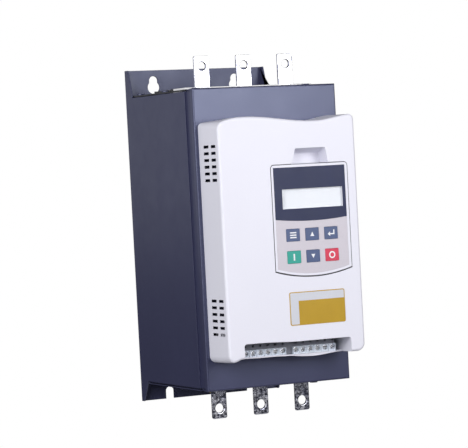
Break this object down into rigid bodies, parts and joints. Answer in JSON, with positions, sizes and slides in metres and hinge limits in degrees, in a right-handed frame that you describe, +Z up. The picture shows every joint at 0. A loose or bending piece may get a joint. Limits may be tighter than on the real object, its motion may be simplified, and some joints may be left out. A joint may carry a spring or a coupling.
{
  "type": "soft starter",
  "caption": "Three-phase motor soft starter: dark steel housing with keyhole flanges, white wave-edged cover with a pull-out keypad, control terminals and busbars above and below.",
  "frame": {"origin": "middle of the rear mounting face, at half the height of the housing between its flanges", "axes": "+X to the right seen from the front, +Y into the wall, +Z up"},
  "size_m": [0.1548, 0.2017, 0.3535],
  "materials": {
    "dark_paint": "fine satin powder coat, dark slate",
    "panel_paint": "fine satin powder coat, dark slate blue",
    "zinc_steel": "bright zinc",
    "aluminium": "extruded, mill finish",
    "module_plastic": "moulded, light",
    "tinned_copper": "tinned copper, bright and slightly mottled",
    "white_insulator": "moulded insulator",
    "ct_blue": "moulded",
    "black_plastic": "moulded",
    "yellow_brass": "plain",
    "circuit_board": "green solder mask",
    "capacitor_red": "dipped",
    "ribbon_grey": "flat ribbon",
    "relay_blue": "moulded",
    "terminal_grey": "moulded, light grey blue",
    "dark_plastic": "moulded, dark grey",
    "header_grey": "moulded, mid grey",
    "white_abs": "fine moulded texture, white",
    "label_film": "printed film, gold and white fields with no lettering",
    "navy_film": "printed film, navy",
    "grey_film": "printed film, light warm grey",
    "clear_window": "clear window",
    "display_white": "blank pale display",
    "blue_key": "moulded, blue",
    "green_key": "moulded, green",
    "red_key": "moulded, red"
  },
  "bodies": {
    "housing": {"chassis": "dark_paint", "front_panel": "panel_paint", "bottom_plate": "dark_paint", "top_grille": "black_plastic", "m4_screws": "dark_paint", "heat_sink": "aluminium", "heat_sink_screws": "zinc_steel", "scr_module_1": "module_plastic", "scr_module_2": "module_plastic", "scr_module_3": "module_plastic", "m6_screws": "zinc_steel", "input_busbar_1": "tinned_copper", "input_busbar_2": "tinned_copper", "input_busbar_3": "tinned_copper", "output_busbar_1": "tinned_copper", "output_busbar_2": "tinned_copper", "output_busbar_3": "tinned_copper", "upper_busbar_support": "white_insulator", "lower_busbar_support": "white_insulator", "current_transformers": "ct_blue", "fan_frame_left": "black_plastic", "fan_frame_right": "black_plastic", "thermal_switch": "zinc_steel", "earth_screw": "yellow_brass", "firing_board": "circuit_board", "board_standoffs": "yellow_brass", "board_screws": "zinc_steel", "pulse_transformers": "black_plastic", "snubber_capacitors": "capacitor_red", "ribbon_cable": "ribbon_grey", "control_board": "circuit_board", "control_transformer": "black_plastic", "relays": "relay_blue", "terminal_block_left": "terminal_grey", "terminal_block_right": "terminal_grey", "terminal_screws": "zinc_steel", "terminal_headers": "header_grey", "keypad_socket": "black_plastic", "cover": "white_abs", "blank_label": "label_film"},
    "keypad": {"keypad_bezel": "white_abs", "keypad_back": "dark_plastic", "display_overlay": "navy_film", "key_overlay": "grey_film", "display_lens": "clear_window", "lcd_module": "display_white", "keypad_board": "circuit_board", "tact_switches": "black_plastic", "keypad_plug": "black_plastic", "keypad_screws": "zinc_steel"},
    "menu_key": {"key_menu": "blue_key"},
    "up_key": {"key_up": "blue_key"},
    "enter_key": {"key_enter": "blue_key"},
    "run_key": {"key_run": "green_key"},
    "down_key": {"key_down": "blue_key"},
    "stop_key": {"key_stop": "red_key"},
    "left_fan": {"fan_rotor_left": "black_plastic"},
    "right_fan": {"fan_rotor_right": "black_plastic"}
  },
  "joints": [
    {"name": "keypad_pull", "type": "slide", "parent": "housing", "child": "keypad", "axis": [0, -1, 0], "range_m": [0, 0.03]},
    {"name": "menu_key_press", "type": "slide", "parent": "keypad", "child": "menu_key", "axis": [0, 1, 0], "range_m": [0, 0.0008], "stiffness_N_per_m": 1500},
    {"name": "up_key_press", "type": "slide", "parent": "keypad", "child": "up_key", "axis": [0, 1, 0], "range_m": [0, 0.0008], "stiffness_N_per_m": 1500},
    {"name": "enter_key_press", "type": "slide", "parent": "keypad", "child": "enter_key", "axis": [0, 1, 0], "range_m": [0, 0.0008], "stiffness_N_per_m": 1500},
    {"name": "run_key_press", "type": "slide", "parent": "keypad", "child": "run_key", "axis": [0, 1, 0], "range_m": [0, 0.0008], "stiffness_N_per_m": 1500},
    {"name": "down_key_press", "type": "slide", "parent": "keypad", "child": "down_key", "axis": [0, 1, 0], "range_m": [0, 0.0008], "stiffness_N_per_m": 1500},
    {"name": "stop_key_press", "type": "slide", "parent": "keypad", "child": "stop_key", "axis": [0, 1, 0], "range_m": [0, 0.0008], "stiffness_N_per_m": 1500},
    {"name": "left_fan_spin", "type": "hinge", "parent": "housing", "child": "left_fan", "pos_m": [-0.036, -0.039, -0.13], "axis": [0, 0, 1], "continuous": true},
    {"name": "right_fan_spin", "type": "hinge", "parent": "housing", "child": "right_fan", "pos_m": [0.036, -0.039, -0.13], "axis": [0, 0, 1], "continuous": true}
  ]
}
